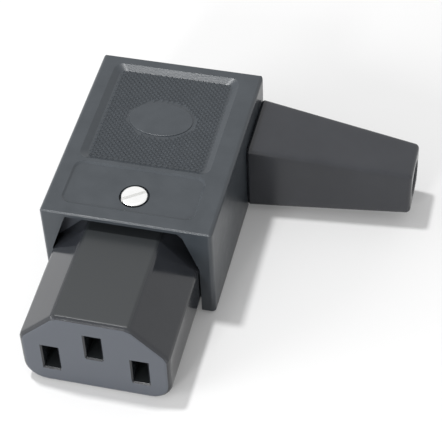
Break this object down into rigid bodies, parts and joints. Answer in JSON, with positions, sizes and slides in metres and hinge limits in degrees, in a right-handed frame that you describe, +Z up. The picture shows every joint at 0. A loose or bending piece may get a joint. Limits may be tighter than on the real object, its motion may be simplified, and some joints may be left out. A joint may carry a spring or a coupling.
{
  "type": "right-angled rewirable c13 power connector",
  "caption": "Right-angled appliance connector: slotted nose with two cut corners, box hood held by one screw, and a tapered boot for the cord at the side.",
  "frame": {"origin": "on the engagement face of the nose, midway between the line and neutral slots", "axes": "+X towards the cord boot, +Y from the engagement face to the back of the hood, +Z up through the earth slot"},
  "size_m": [0.054, 0.0544, 0.0184],
  "materials": {
    "carrier_plastic": "moulded black thermoplastic, semi-gloss",
    "hood_plastic": "moulded black thermoplastic, fine grained top",
    "boot_rubber": "soft black PVC, semi-gloss",
    "clamp_plastic": "moulded black thermoplastic",
    "plated_steel": "bright zinc plate",
    "washer_steel": "plated sheet steel",
    "contact_brass": "plain rolled brass strip",
    "brass": "turned brass"
  },
  "bodies": {
    "root": {"carrier": "carrier_plastic", "hood": "hood_plastic", "boot": "boot_rubber", "hood_screw": "plated_steel", "hood_bush": "brass", "line_contact": "contact_brass", "earth_contact": "contact_brass", "neutral_contact": "contact_brass", "line_terminal_nut": "plated_steel", "earth_terminal_nut": "plated_steel", "neutral_terminal_nut": "plated_steel", "line_clamp_washer": "washer_steel", "earth_clamp_washer": "washer_steel", "neutral_clamp_washer": "washer_steel", "line_terminal_screw": "plated_steel", "earth_terminal_screw": "plated_steel", "neutral_terminal_screw": "plated_steel", "cord_clamp": "clamp_plastic", "clamp_screw": "plated_steel", "clamp_nut": "plated_steel"}
  },
  "joints": []
}
